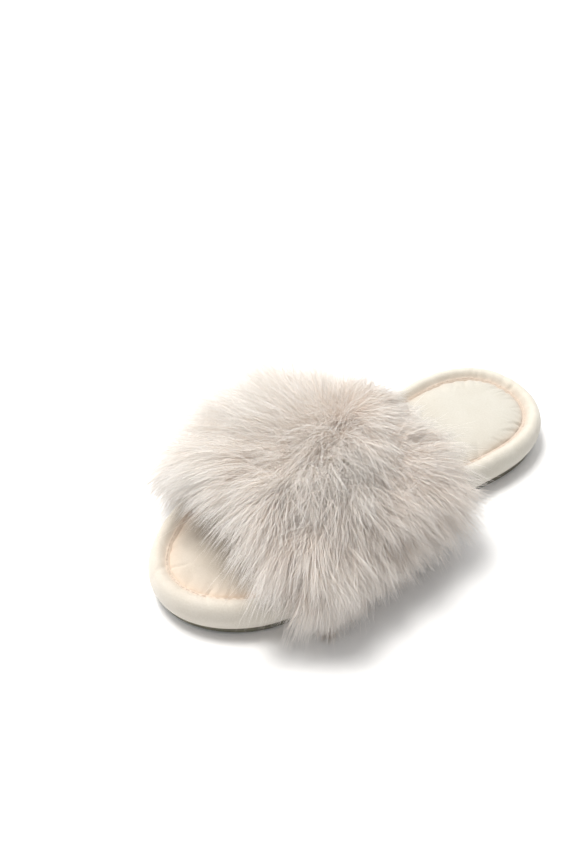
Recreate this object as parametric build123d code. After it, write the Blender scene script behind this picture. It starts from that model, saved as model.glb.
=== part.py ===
from build123d import *
import math
import os

import numpy as np

os.makedirs("parts", exist_ok=True)

# Open-toe, open-heel slide slipper for the left foot, unworn and standing on a flat floor.
# Millimetres. Z = 0 is the floor, +Z up, toe towards -Y, outer (little-toe) side towards +X.

# ---------------------------------------------------------------- driving dimensions
LENGTH = 265.0            # outer length of the padded rim, heel to toe
HEEL_HALF = 40.5          # half width across the heel
WAIST_OUTER = 40.0        # half width at the waist, little-toe side
WAIST_INNER = 39.7        # half width at the waist, big-toe side
BALL_OUTER = 50.8
BALL_INNER = 48.5
TOE_OUTER = 47.0
TOE_INNER = 41.0
TIP_SHIFT = 0.9           # sideways place of the toe's tip

OUTSOLE_T = 5.0           # moulded outsole at its edge
OUTSOLE_INSET = 3.2       # outsole edge behind the widest line of the rim
PLATFORM_INSET = 15.4     # raised middle of the outsole, inside the glued margins
MARGIN_T = 2.4            # height of the turned-under margins
TOE_SPRING = 3.0          # the outsole's underside rises this much at the toe's tip
SPRING_START = -62.0      # Y where the rise starts
TREAD_PITCH = 9.0
TREAD_W = 2.2
TREAD_DEPTH = 1.2

BOARD_T = 2.0             # stiff insole board
PLUSH_T = 2.2             # short plush with its nap
SEAM_INSET = 10.2         # footbed seam, inside the widest line
SEAM_Z = 20.0
RIM_TOP = 23.0
FOOTBED_TOP = 23.2        # crown of the footbed

BAND_REAR_U = 118.0       # band edges, measured from the heel's end
BAND_FRONT_U = 203.0
LINING_T = 2.0
BAND_FOAM_T = 3.0
BACKING_T = 1.2
BAND_GAP = 0.4            # between the rim and the band's lining
CREST_REAR = 57.5         # height of the band's inside at its rear edge
CREST_FRONT = 51.5        # and at its front edge
TURN_Z = 20.0             # the sides stand straight up to here, then curve over
THREAD = 0.8

Z_MARGIN = OUTSOLE_T + MARGIN_T          # 7.4
Z_BOARD = Z_MARGIN + BOARD_T             # 9.4


# ---------------------------------------------------------------- plan outline
def periodic_spline(points, count):
    """Closed cubic through the points, sampled evenly along its length."""
    p = np.array(points, float)
    n = len(p)
    h = np.linalg.norm(np.roll(p, -1, 0) - p, axis=1) ** 0.75
    a = np.zeros((n, n))
    b = np.zeros((n, 2))
    for i in range(n):
        hm, hp = h[i - 1], h[i]
        a[i, (i - 1) % n] += hm
        a[i, i] += 2 * (hm + hp)
        a[i, (i + 1) % n] += hp
        b[i] = 6 * ((p[(i + 1) % n] - p[i]) / hp - (p[i] - p[i - 1]) / hm)
    m = np.linalg.solve(a, b)
    dense = []
    for i in range(n):
        j = (i + 1) % n
        for s in np.linspace(0, 1, 200, endpoint=False):
            t = s * h[i]
            r = h[i] - t
            dense.append(
                m[i] * r**3 / (6 * h[i]) + m[j] * t**3 / (6 * h[i])
                + (p[i] / h[i] - m[i] * h[i] / 6) * r + (p[j] / h[i] - m[j] * h[i] / 6) * t
            )
    dense = np.array(dense)
    seg = np.linalg.norm(np.roll(dense, -1, 0) - dense, axis=1)
    run = np.concatenate([[0], np.cumsum(seg)])
    want = np.linspace(0, run[-1], count, endpoint=False)
    loop = np.vstack([dense, dense[:1]])
    return np.column_stack([np.interp(want, run, loop[:, k]) for k in (0, 1)]), dense


uv = [
    (0, 0), (8, 0.62 * HEEL_HALF), (34, HEEL_HALF), (100, WAIST_OUTER), (178, BALL_OUTER),
    (228, TOE_OUTER), (259, TIP_SHIFT + 0.45 * TOE_OUTER), (LENGTH, TIP_SHIFT),
    (259, TIP_SHIFT - 0.45 * TOE_INNER), (228, -TOE_INNER), (178, -BALL_INNER),
    (100, -WAIST_INNER), (34, -HEEL_HALF), (8, -0.62 * HEEL_HALF),
]
ring, fine = periodic_spline([(v, LENGTH / 2 - u) for u, v in uv], 44)


def normals(loop):
    d = np.roll(loop, -1, 0) - np.roll(loop, 1, 0)
    n = np.column_stack([-d[:, 1], d[:, 0]])
    n /= np.linalg.norm(n, axis=1)[:, None]
    area = 0.5 * np.sum(loop[:, 0] * np.roll(loop[:, 1], -1) - loop[:, 1] * np.roll(loop[:, 0], -1))
    return n if area > 0 else -n          # pointing inwards


IN = normals(ring)


def outline_face(inset, z):
    pts = [Vector(float(x), float(y), z) for x, y in ring + IN * inset]
    return Face(Wire([Edge.make_spline(pts, periodic=True)]))


def prism(inset, z0, z1):
    return extrude(outline_face(inset, z0), amount=z1 - z0, dir=(0, 0, 1))


def stack(levels):
    """Solid through outlines at (z, inset) levels."""
    return loft([outline_face(i, z) for z, i in levels], ruled=True)


def half_widths(u):
    y = LENGTH / 2 - u
    near = fine[np.abs(fine[:, 1] - y) < 1.5]
    return float(near[:, 0].max()), float(-near[:, 0].min())


def slab(x0, x1, y0, y1, z0, z1):
    return Pos((x0 + x1) / 2, (y0 + y1) / 2, (z0 + z1) / 2) * Box(x1 - x0, y1 - y0, z1 - z0)


def single(shape):
    """The one solid of a result."""
    s = shape.solids()
    s = sorted(s, key=lambda k: k.volume)
    return s[-1]


parts = {}

# ---------------------------------------------------------------- outsole
sole = stack([(0, OUTSOLE_INSET + 0.9), (0.9, OUTSOLE_INSET), (OUTSOLE_T, OUTSOLE_INSET)])
sole = sole + prism(PLATFORM_INSET, OUTSOLE_T - 1, Z_MARGIN)
# toe spring: a long arc cut from the underside
y_tip = -LENGTH / 2
run = SPRING_START - y_tip
arc_r = (run**2 + TOE_SPRING**2) / (2 * TOE_SPRING)
far = SPRING_START - (run + 14)
mid = SPRING_START - (run + 14) / 2
rise = lambda y: arc_r - math.sqrt(arc_r**2 - (SPRING_START - y) ** 2)
wedge = Face(Wire([
    Edge.make_three_point_arc((-80, SPRING_START, 0), (-80, mid, rise(mid)), (-80, far, rise(far))),
    Edge.make_line((-80, far, rise(far)), (-80, far, -6)),
    Edge.make_line((-80, far, -6), (-80, SPRING_START, -6)),
    Edge.make_line((-80, SPRING_START, -6), (-80, SPRING_START, 0)),
]))
sole = sole - extrude(wedge, amount=160, dir=(1, 0, 0))
# shallow cross grooves in the flat of the underside, short of its edge
k = 0
while TREAD_PITCH / 2 + k * TREAD_PITCH < 114:
    for y in (TREAD_PITCH * (k + 0.5), -TREAD_PITCH * (k + 0.5)):
        if y > SPRING_START + 2:
            o, i = half_widths(LENGTH / 2 - y)
            edge = OUTSOLE_INSET + 8 + max(0.0, (y - 90) * 0.25)
            sole = sole - slab(edge - i, o - edge, y - TREAD_W / 2, y + TREAD_W / 2, -1, TREAD_DEPTH)
    k += 1
parts["outsole"] = single(sole)

# ---------------------------------------------------------------- insole board, foams, covers
parts["insole_board"] = prism(4.2, Z_MARGIN, Z_BOARD)

# rim outside: (z, inset)
rim_out = [(OUTSOLE_T, 3.4), (7.0, 1.9), (10.0, 0.6), (13.5, 0.0), (16.5, 0.2), (19.0, 1.2),
           (21.2, 3.0), (22.5, 5.2), (RIM_TOP, 7.4)]
rim_in = [(Z_MARGIN, 3.9), (10.0, 2.9), (13.5, 2.3), (16.5, 2.5), (18.6, 3.6), (20.2, 5.4), (20.7, 7.6)]

band_y1 = LENGTH / 2 - BAND_REAR_U       # 14.5
band_y0 = LENGTH / 2 - BAND_FRONT_U      # -70.5

roll = stack([(z, i + 0.1) for z, i in rim_in])
roll = roll - prism(SEAM_INSET - 0.7, 0, 30) - prism(-5, 0, Z_BOARD)
parts["rim_foam_roll"] = single(roll)

cover = stack(rim_out) - stack(rim_in)
cover = cover - prism(SEAM_INSET - 0.4, Z_MARGIN - 0.01, 30) - prism(PLATFORM_INSET - 0.2, 0, Z_MARGIN)
# under the band the turned-under margin is trimmed back
cover = cover - slab(-80, 80, band_y0 - 1, band_y1 + 1, 0, Z_MARGIN + 0.05)
parts["rim_cover"] = single(cover)

foam_levels = [(Z_BOARD, SEAM_INSET + 1.2), (18.2, SEAM_INSET + 1.2), (19.6, SEAM_INSET + 2.6),
               (20.6, SEAM_INSET + 5.5), (21.0, SEAM_INSET + 10)]
parts["footbed_foam"] = stack(foam_levels)
top = stack([(18.2, SEAM_INSET + 0.7), (19.6, SEAM_INSET + 0.7), (21.2, SEAM_INSET + 1.6), (22.4, SEAM_INSET + 4.2),
             (23.0, SEAM_INSET + 8.0), (FOOTBED_TOP, SEAM_INSET + 13)])
parts["footbed_cover"] = single(top - stack([(z, i) for z, i in [(17.0, SEAM_INSET + 1.2)] + foam_levels[1:]]))

seam = prism(SEAM_INSET - 0.25, SEAM_Z - THREAD / 2, SEAM_Z + THREAD / 2) - prism(
    SEAM_INSET - 0.25 + THREAD, SEAM_Z - 3, SEAM_Z + 3)
parts["footbed_seam_thread"] = single(seam)


# ---------------------------------------------------------------- the band's layers
def arch_edges(y, outer, inner, top_z, foot_z, turn_z, grow=0.0, back=False):
    """Arch in the plane Y = y: straight sides up to turn_z, then three tangent arcs.
    It runs from the outer foot to the inner foot, or the other way if back is set."""
    xc, w, h = (outer - inner) / 2, (outer + inner) / 2, top_z - turn_z
    r1 = 0.60 * (h - grow) + grow
    k = ((w - r1) ** 2 - (h - r1) ** 2) / (2 * (h - r1))
    r2 = h + k
    t = math.atan2(k, w - r1)            # where the side arc hands over to the top arc
    m = t / 2
    spots = []
    for s in (1, -1):
        c = xc + s * (w - r1)
        spots.append([
            Vector(xc + s * w, y, turn_z),
            Vector(c + s * r1 * math.cos(m), y, turn_z + r1 * math.sin(m)),
            Vector(c + s * r1 * math.cos(t), y, turn_z + r1 * math.sin(t)),
        ])
    o, i = spots
    a, b, crown = Vector(outer, y, foot_z), Vector(-inner, y, foot_z), Vector(xc, y, top_z)
    if back:
        o, i, a, b = i, o, b, a
    return [
        Edge.make_line(a, o[0]), Edge.make_three_point_arc(*o), Edge.make_three_point_arc(o[2], crown, i[2]),
        Edge.make_three_point_arc(*i[::-1]), Edge.make_line(i[0], b),
    ]


def arch_face(*spec):
    """The same arch, filled down to its feet."""
    e = arch_edges(*spec)
    return Face(Wire(e + [Edge.make_line(e[-1] @ 1, e[0] @ 0)]))


def crest(u):
    s = (u - BAND_REAR_U) / (BAND_FRONT_U - BAND_REAR_U)
    return CREST_REAR + (CREST_FRONT - CREST_REAR) * s


def layer(k_in, k_out, foot_z, stations):
    """One layer of the band, lofted over its stations."""
    faces = []
    for u in stations:
        y = LENGTH / 2 - u
        o, i = half_widths(u)
        o, i, top = o + BAND_GAP, i + BAND_GAP, crest(u)
        a = arch_edges(y, o + k_out, i + k_out, top + k_out, foot_z, TURN_Z, k_out)
        b = arch_edges(y, o + k_in, i + k_in, top + k_in, foot_z, TURN_Z, k_in, back=True)
        ends = [Edge.make_line(a[-1] @ 1, b[0] @ 0), Edge.make_line(b[-1] @ 1, a[0] @ 0)]
        faces.append(Face(Wire(a + ends[:1] + b + ends[1:])))
    return loft(faces, ruled=True)


k1, k2, k3 = LINING_T, LINING_T + BAND_FOAM_T, LINING_T + BAND_FOAM_T + BACKING_T
z_lin = OUTSOLE_T + BACKING_T            # the lining's margin lies on the backing's margin


def margin(grow, z0, z1):
    """The glued margin that turns in under the rim."""
    flange = prism(-grow, z0, z1) - prism(PLATFORM_INSET - 0.3, z0 - 1, z1 + 1)
    return flange & slab(-100, 100, band_y0, band_y1, z0 - 1, z1 + 1)


U0, U1 = BAND_REAR_U, BAND_FRONT_U
SPANS = [U0, U0 + BACKING_T, U0 + 21, U0 + 42, U0 + 64, U1 - BACKING_T, U1]
lining = layer(0, k1, z_lin, SPANS) + margin(BAND_GAP + 0.6 * LINING_T, z_lin, Z_MARGIN)
parts["upper_lining"] = single(lining)

parts["upper_foam"] = layer(k1, k2, z_lin, SPANS[1:-1])

# the backing turns in over both edges of the foam
backing = layer(k2, k3, OUTSOLE_T, SPANS)
backing = backing + layer(k1, k2 + 0.3, z_lin, SPANS[:2]) + layer(k1, k2 + 0.3, z_lin, SPANS[-2:])
backing = backing + margin(BAND_GAP + k2 + 0.5 * BACKING_T, OUTSOLE_T, z_lin)
parts["fur_backing"] = single(backing)

for name, u in (("band_rear_thread", U0 + 4.0), ("band_front_thread", U1 - 4.0)):
    parts[name] = layer(-THREAD - 0.2, -0.2, TURN_Z - 1, [u - THREAD / 2, u + THREAD / 2])

# ---------------------------------------------------------------- long pile, outer shape
# station: heel distance, outer and inner half width, top, foot height
PILE = [
    (80, 54, 46, 60, 18), (95, 67, 62, 73, 10), (118, 77, 76, 84, 4), (160, 84, 85, 93, 1.5),
    (200, 84, 84, 88, 1.5), (222, 74, 72, 79, 4), (240, 57, 56, 64, 14),
]
outer = loft([arch_face(LENGTH / 2 - u, a, b, t, f, max(26.0, f + 1)) for u, a, b, t, f in PILE])
# clear way for the foot inside the pile: round the band, then narrowing to both mouths
way = []
for u in (66, 78, 90, 102, 112, U0, U0 + 21, U0 + 42, U0 + 64, U1, 210, 218, 226, 234, 242, 250):
    out_of_band = max(U0 - u, u - U1, 0.0)
    s = min(out_of_band / 36.0, 1.0)
    o, i = half_widths(u)
    g = (BAND_GAP + k3 + 0.3) * (1 - s) + 3.0 * s
    t = (crest(min(max(u, U0), U1)) + k3 + 0.3) * (1 - s) + 47.0 * s
    way.append(arch_face(LENGTH / 2 - u, o + g, i + g, t, -5, TURN_Z, k3 + 0.3))
way = loft(way, ruled=True)
parts["fur_pile"] = single(outer - way)

for name, solid in parts.items():
    solid.label = name
    export_step(solid, f"parts/{name}.step")
    bb = solid.bounding_box()
    print(name, round(solid.volume), [round(v, 1) for v in (*bb.min, *bb.max)], solid.is_valid)
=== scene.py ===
import math

import bpy
import numpy as np
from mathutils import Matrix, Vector
from mathutils.kdtree import KDTree


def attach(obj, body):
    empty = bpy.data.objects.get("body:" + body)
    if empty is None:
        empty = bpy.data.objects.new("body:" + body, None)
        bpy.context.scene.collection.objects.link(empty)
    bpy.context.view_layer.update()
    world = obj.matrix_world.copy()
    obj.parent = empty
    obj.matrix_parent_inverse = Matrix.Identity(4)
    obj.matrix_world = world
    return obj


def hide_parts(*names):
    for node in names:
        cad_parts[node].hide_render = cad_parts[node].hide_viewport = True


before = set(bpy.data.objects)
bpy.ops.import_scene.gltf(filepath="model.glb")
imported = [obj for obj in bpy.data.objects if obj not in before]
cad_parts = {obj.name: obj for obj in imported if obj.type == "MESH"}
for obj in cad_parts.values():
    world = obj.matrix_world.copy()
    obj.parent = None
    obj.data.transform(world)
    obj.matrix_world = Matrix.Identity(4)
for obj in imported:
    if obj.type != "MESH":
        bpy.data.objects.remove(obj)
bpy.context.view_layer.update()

MM = 0.001

# ------------------------------------------------------------------ camera
cam_data = bpy.data.cameras.new("camera")
cam = bpy.data.objects.new("camera", cam_data)
bpy.context.scene.collection.objects.link(cam)
cam.location = (0.2772, -0.2515, 0.4090)
cam.rotation_euler = (Vector((-0.0677, 0.0015, 0.0)) - cam.location).to_track_quat("-Z", "Y").to_euler()
cam_data.lens = 39.56
cam_data.sensor_width = 36.0
cam_data.clip_start, cam_data.clip_end = 0.01, 20.0
bpy.context.scene.camera = cam

# ------------------------------------------------------------------ plan outline (mm, row frame)
UV = [
    (0, 0), (8, 25.1), (34, 40.5), (100, 40.0), (178, 50.8), (228, 47.0), (259, 22.05), (265, 0.9),
    (259, -17.55), (228, -41.0), (178, -48.5), (100, -39.7), (34, -40.5), (8, -25.1),
]


def periodic(points, count):
    p = np.array(points, float)
    n = len(p)
    h = np.linalg.norm(np.roll(p, -1, 0) - p, axis=1) ** 0.75
    a, b = np.zeros((n, n)), np.zeros((n, 2))
    for i in range(n):
        hm, hp = h[i - 1], h[i]
        a[i, (i - 1) % n] += hm
        a[i, i] += 2 * (hm + hp)
        a[i, (i + 1) % n] += hp
        b[i] = 6 * ((p[(i + 1) % n] - p[i]) / hp - (p[i] - p[i - 1]) / hm)
    m = np.linalg.solve(a, b)
    dense = []
    for i in range(n):
        j = (i + 1) % n
        t = np.linspace(0, h[i], 300, endpoint=False)[:, None]
        r = h[i] - t
        dense.append(m[i] * r**3 / (6 * h[i]) + m[j] * t**3 / (6 * h[i])
                     + (p[i] / h[i] - m[i] * h[i] / 6) * r + (p[j] / h[i] - m[j] * h[i] / 6) * t)
    dense = np.vstack(dense)
    seg = np.linalg.norm(np.roll(dense, -1, 0) - dense, axis=1)
    run = np.concatenate([[0], np.cumsum(seg)])
    want = np.linspace(0, run[-1], count, endpoint=False)
    loop = np.vstack([dense, dense[:1]])
    return np.column_stack([np.interp(want, run, loop[:, k]) for k in (0, 1)]), run[-1]


def inward(loop):
    d = np.roll(loop, -1, 0) - np.roll(loop, 1, 0)
    n = np.column_stack([-d[:, 1], d[:, 0]])
    n /= np.linalg.norm(n, axis=1)[:, None]
    area = 0.5 * np.sum(loop[:, 0] * np.roll(loop[:, 1], -1) - loop[:, 1] * np.roll(loop[:, 0], -1))
    return n if area > 0 else -n


N_RING = 420
RING, PERIMETER = periodic([(v, 132.5 - u) for u, v in UV], N_RING)
RIN = inward(RING)
FINE, _ = periodic([(v, 132.5 - u) for u, v in UV], 4000)

# half widths by Y, as tables
Y_TAB = np.linspace(-132.0, 132.0, 265)
W_OUT = np.array([FINE[np.abs(FINE[:, 1] - y) < 1.2][:, 0].max() for y in Y_TAB])
W_IN = np.array([-FINE[np.abs(FINE[:, 1] - y) < 1.2][:, 0].min() for y in Y_TAB])


def halves(u):
    y = 132.5 - np.asarray(u, float)
    return np.interp(y, Y_TAB, W_OUT), np.interp(y, Y_TAB, W_IN)


rng = np.random.default_rng(20717)


def smooth(a, b, x):
    t = np.clip((x - a) / (b - a), 0, 1)
    return t * t * (3 - 2 * t)


# ------------------------------------------------------------------ materials
def material(name):
    m = bpy.data.materials.new(name)
    m.use_nodes = True
    nt = m.node_tree
    nt.nodes.clear()
    out = nt.nodes.new("ShaderNodeOutputMaterial")
    bsdf = nt.nodes.new("ShaderNodeBsdfPrincipled")
    nt.links.new(bsdf.outputs[0], out.inputs[0])
    return m, nt, bsdf, out


def node(nt, kind, **values):
    n = nt.nodes.new(kind)
    for k, v in values.items():
        if k in n.inputs:
            n.inputs[k].default_value = v
        else:
            setattr(n, k, v)
    return n


def mix(nt, fac, a, b, blend="MIX"):
    n = nt.nodes.new("ShaderNodeMix")
    n.data_type = "RGBA"
    n.blend_type = blend
    for socket, value in ((n.inputs[0], fac), (n.inputs[6], a), (n.inputs[7], b)):
        if hasattr(value, "is_linked") or hasattr(value, "links"):
            nt.links.new(value, socket)
        else:
            socket.default_value = value
    return n.outputs[2]


def ramp(nt, source, stops):
    n = nt.nodes.new("ShaderNodeValToRGB")
    e = n.color_ramp.elements
    while len(e) < len(stops):
        e.new(0.5)
    for el, (pos, col) in zip(e, stops):
        el.position = pos
        el.color = col if len(col) == 4 else (*col, 1)
    nt.links.new(source, n.inputs[0])
    return n.outputs[0]


def plush(name, base, toe_colour, deep, grain=1100.0, patch=38.0, bump=0.35):
    """Short brushed plush: fine nap grain, brushed patches, the toe colour towards the toe, and the seam colour by the
    'seam' attribute: a peach tint, dark brown at the heel as painted shade in the crease and bright at the toe as
    painted highlight.
    """
    m, nt, bsdf, out = material(name)
    co = node(nt, "ShaderNodeTexCoord").outputs["Object"]
    fine = node(nt, "ShaderNodeTexNoise", Scale=grain, Detail=3.0, Roughness=0.65)
    nap = node(nt, "ShaderNodeTexNoise", Scale=grain * 0.27, Detail=2.0, Roughness=0.5)
    patches = node(nt, "ShaderNodeTexNoise", Scale=patch, Detail=3.0, Roughness=0.55, Distortion=0.6)
    for n in (fine, nap, patches):
        nt.links.new(co, n.inputs["Vector"])
    sep = node(nt, "ShaderNodeSeparateXYZ")
    nt.links.new(co, sep.inputs[0])
    along = ramp(nt, node_math(nt, "MULTIPLY_ADD", sep.outputs[1], -4.2, 0.42), [(0.0, (0, 0, 0)), (1.0, (1, 1, 1))])
    col = mix(nt, along, (*base, 1), (*toe_colour, 1))
    col = mix(nt, ramp(nt, patches.outputs[0], [(0.36, (0, 0, 0)), (0.66, (1, 1, 1))]), col,
              mix(nt, 1.0, col, (0.955, 0.945, 0.93, 1), "MULTIPLY"))
    col = mix(nt, ramp(nt, fine.outputs[0], [(0.30, (0, 0, 0)), (0.70, (1, 1, 1))]),
              mix(nt, 1.0, col, (0.93, 0.92, 0.90, 1), "MULTIPLY"), col)
    # seam colour: a peach tint, going from painted shade in the heel crease to painted highlight at the toe
    at = node(nt, "ShaderNodeAttribute", attribute_name="seam")
    col = mix(nt, at.outputs["Fac"], col, mix(nt, along, (*deep, 1), (*PEACH_TOE_AND_HIGHLIGHT, 1)))
    nt.links.new(col, bsdf.inputs["Base Color"])
    height = node_math(nt, "MULTIPLY_ADD", nap.outputs[0], 0.6, fine.outputs[0])
    b = node(nt, "ShaderNodeBump", Strength=bump, Distance=0.0006)
    nt.links.new(height, b.inputs["Height"])
    nt.links.new(b.outputs[0], bsdf.inputs["Normal"])
    bsdf.inputs["Roughness"].default_value = 0.95
    bsdf.inputs["Specular IOR Level"].default_value = 0.15
    bsdf.inputs["Sheen Weight"].default_value = 0.35
    bsdf.inputs["Sheen Roughness"].default_value = 0.55
    return m


def node_math(nt, op, a, b, c=None):
    n = nt.nodes.new("ShaderNodeMath")
    n.operation = op
    for i, v in enumerate((a, b, c)):
        if v is None:
            continue
        if hasattr(v, "links"):
            nt.links.new(v, n.inputs[i])
        else:
            n.inputs[i].default_value = v
    return n.outputs[0]


CREAM = (0.590, 0.572, 0.515)
# toe colour of the footbed: a warmer tint, also darkened as painted shade of the fur over the toe
WARM_TOE_AND_FUR_SHADE = (0.605, 0.540, 0.465)
# seam colours: a peach tint, darkened at the heel as painted shade in the crease and lightened at the toe as painted
# highlight
PEACH_AND_CREASE_SHADE = (0.50, 0.375, 0.290)
PEACH_TOE_AND_HIGHLIGHT = (0.78, 0.635, 0.510)
mat_plush = plush("plush_footbed", CREAM, WARM_TOE_AND_FUR_SHADE, PEACH_AND_CREASE_SHADE)
# the rim is the same cream plush as the footbed, made brighter as painted light on its outer side
mat_rim = plush("plush_rim", (0.690, 0.662, 0.592), (0.665, 0.620, 0.552), PEACH_AND_CREASE_SHADE)
mat_lining = plush("plush_lining", (0.77, 0.705, 0.60), (0.75, 0.68, 0.575), (0.63, 0.52, 0.41), grain=900.0)


def mat_outsole():
    m, nt, bsdf, out = material("outsole_rubber")
    co = node(nt, "ShaderNodeTexCoord").outputs["Object"]
    grain = node(nt, "ShaderNodeTexVoronoi", Scale=1300.0)
    cloud = node(nt, "ShaderNodeTexNoise", Scale=60.0, Detail=4.0)
    for n in (grain, cloud):
        nt.links.new(co, n.inputs["Vector"])
    col = ramp(nt, cloud.outputs[0], [(0.3, (0.105, 0.100, 0.070)), (0.7, (0.155, 0.147, 0.108))])
    # darker by about 15% at the bottom, fading out over the lowest 1.25 mm where the flat meets the floor
    sep = node(nt, "ShaderNodeSeparateXYZ")
    nt.links.new(co, sep.inputs[0])
    low = ramp(nt, node_math(nt, "MULTIPLY", sep.outputs[2], 400.0), [(0.0, (1, 1, 1)), (0.5, (0, 0, 0))])
    col = mix(nt, low, col, mix(nt, 1.0, col, (0.86, 0.85, 0.84, 1), "MULTIPLY"))
    nt.links.new(col, bsdf.inputs["Base Color"])
    b = node(nt, "ShaderNodeBump", Strength=0.3, Distance=0.0003)
    nt.links.new(grain.outputs[0], b.inputs["Height"])
    nt.links.new(b.outputs[0], bsdf.inputs["Normal"])
    nt.links.new(ramp(nt, cloud.outputs[0], [(0.3, (0.62, 0.62, 0.62)), (0.7, (0.78, 0.78, 0.78))]), bsdf.inputs["Roughness"])
    return m


def mat_knit():
    m, nt, bsdf, out = material("knit_backing")
    co = node(nt, "ShaderNodeTexCoord").outputs["Object"]
    w = node(nt, "ShaderNodeTexWave", Scale=420.0, Distortion=2.0, Detail=2.0)
    n2 = node(nt, "ShaderNodeTexNoise", Scale=300.0, Detail=3.0)
    for n in (w, n2):
        nt.links.new(co, n.inputs["Vector"])
    col = mix(nt, w.outputs[1], (0.50, 0.40, 0.345, 1), (0.60, 0.50, 0.44, 1))
    col = mix(nt, n2.outputs[0], col, (0.56, 0.46, 0.40, 1))
    nt.links.new(col, bsdf.inputs["Base Color"])
    b = node(nt, "ShaderNodeBump", Strength=0.5, Distance=0.0004)
    nt.links.new(w.outputs[1], b.inputs["Height"])
    nt.links.new(b.outputs[0], bsdf.inputs["Normal"])
    bsdf.inputs["Roughness"].default_value = 0.95
    return m


def mat_board():
    m, nt, bsdf, out = material("fibre_board")
    co = node(nt, "ShaderNodeTexCoord").outputs["Object"]
    n2 = node(nt, "ShaderNodeTexNoise", Scale=500.0, Detail=4.0)
    nt.links.new(co, n2.inputs["Vector"])
    nt.links.new(ramp(nt, n2.outputs[0], [(0.3, (0.30, 0.22, 0.14)), (0.7, (0.42, 0.33, 0.22))]), bsdf.inputs["Base Color"])
    bsdf.inputs["Roughness"].default_value = 0.9
    return m


def mat_thread():
    m, nt, bsdf, out = material("thread")
    co = node(nt, "ShaderNodeTexCoord").outputs["Object"]
    w = node(nt, "ShaderNodeTexWave", Scale=900.0, Distortion=1.0, Detail=1.0)
    nt.links.new(co, w.inputs["Vector"])
    nt.links.new(mix(nt, w.outputs[1], (0.635, 0.515, 0.425, 1), (0.69, 0.595, 0.505, 1)), bsdf.inputs["Base Color"])
    b = node(nt, "ShaderNodeBump", Strength=0.5, Distance=0.0002)
    nt.links.new(w.outputs[1], b.inputs["Height"])
    nt.links.new(b.outputs[0], bsdf.inputs["Normal"])
    bsdf.inputs["Roughness"].default_value = 0.7
    return m


def mat_fur():
    """Hair colour by place along the strand (v) and by u, which holds the lock's own paleness with painted light on
    the crest and painted shade on the outer side, read from the strands' own map.
    """
    m, nt, bsdf, out = material("fur_pile_hair")
    uv = node(nt, "ShaderNodeUVMap", uv_map="OFBake")
    sep = node(nt, "ShaderNodeSeparateXYZ")
    nt.links.new(uv.outputs[0], sep.inputs[0])
    pale = ramp(nt, sep.outputs[1], [(0.0, (0.87, 0.745, 0.655)), (0.2, (0.92, 0.835, 0.76)), (0.45, (0.945, 0.89, 0.83)),
                                     (0.75, (0.966, 0.940, 0.902)), (1.0, (0.980, 0.967, 0.945))])
    dark = ramp(nt, sep.outputs[1], [(0.0, (0.76, 0.575, 0.465)), (0.3, (0.87, 0.745, 0.65)), (0.65, (0.92, 0.85, 0.785)),
                                     (1.0, (0.95, 0.91, 0.865))])
    col = mix(nt, sep.outputs[0], dark, pale)
    nt.links.new(col, bsdf.inputs["Base Color"])
    bsdf.inputs["Roughness"].default_value = 0.62
    bsdf.inputs["Specular IOR Level"].default_value = 0.3
    bsdf.inputs["Sheen Weight"].default_value = 0.25
    bsdf.inputs["Sheen Roughness"].default_value = 0.5
    return m


# ------------------------------------------------------------------ mesh helpers
def make(name, verts, faces, mat, smooth_faces=True):
    me = bpy.data.meshes.new(name)
    me.from_pydata([tuple(v) for v in np.asarray(verts) * MM], [], [tuple(map(int, f)) for f in faces])
    me.validate()
    me.materials.append(mat)
    if smooth_faces:
        me.polygons.foreach_set("use_smooth", [True] * len(me.polygons))
    me.update()
    o = bpy.data.objects.new(name, me)
    bpy.context.scene.collection.objects.link(o)
    return o


def only(o):
    bpy.ops.object.select_all(action="DESELECT")
    o.select_set(True)
    bpy.context.view_layer.objects.active = o


def apply_all(o):
    dg = bpy.context.evaluated_depsgraph_get()
    me = bpy.data.meshes.new_from_object(o.evaluated_get(dg))
    o.modifiers.clear()
    old = o.data
    o.data = me
    bpy.data.meshes.remove(old)
    me.name = o.name


def coords(o):
    a = np.empty(len(o.data.vertices) * 3)
    o.data.vertices.foreach_get("co", a)
    return a.reshape(-1, 3) / MM


def set_coords(o, a):
    o.data.vertices.foreach_set("co", (np.asarray(a) * MM).ravel())
    o.data.update()


def attribute(o, name, values):
    at = o.data.attributes.new(name, "FLOAT", "POINT")
    at.data.foreach_set("value", np.asarray(values, float))


def subdivide(o, levels=1):
    m = o.modifiers.new("sub", "SUBSURF")
    m.levels = m.render_levels = levels
    apply_all(o)


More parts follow.
